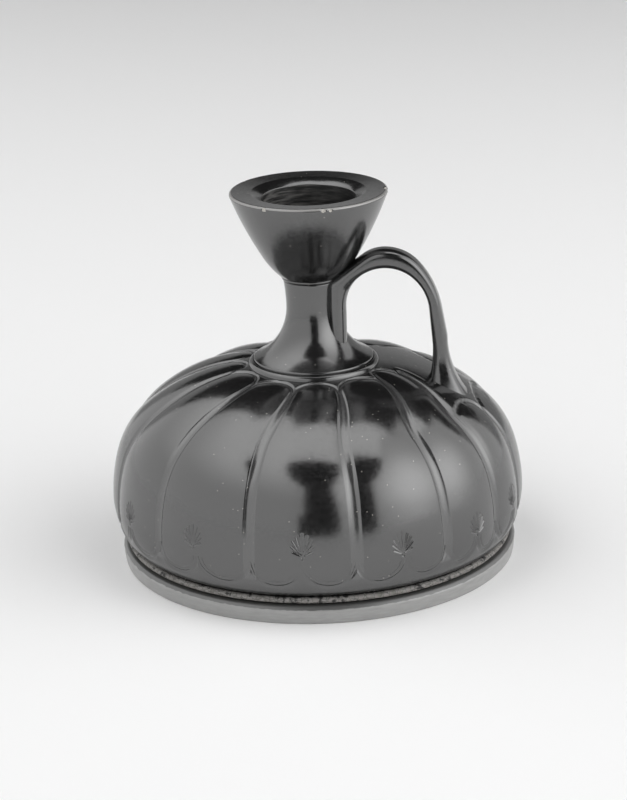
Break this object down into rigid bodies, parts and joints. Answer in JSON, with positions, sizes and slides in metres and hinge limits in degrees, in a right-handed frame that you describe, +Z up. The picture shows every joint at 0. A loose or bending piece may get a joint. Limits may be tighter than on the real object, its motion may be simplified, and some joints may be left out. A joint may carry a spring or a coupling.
{
  "type": "lekythos",
  "caption": "Squat ribbed oil jar of black-glossed clay with a narrow neck, a cup-shaped mouth and a strap handle from neck to shoulder.",
  "frame": {"origin": "centre of the foot's resting face", "axes": "+Z up along the jar's axis, +X towards the handle"},
  "size_m": [0.1276, 0.1278, 0.1156],
  "materials": {
    "black_gloss": "gloss",
    "bare_clay": "matte"
  },
  "bodies": {
    "root": {"foot": "black_gloss", "clay_bead": "bare_clay", "body": "black_gloss", "neck_ring": "black_gloss", "neck": "black_gloss", "mouth_ring": "black_gloss", "mouth": "black_gloss", "handle": "black_gloss"}
  },
  "joints": []
}
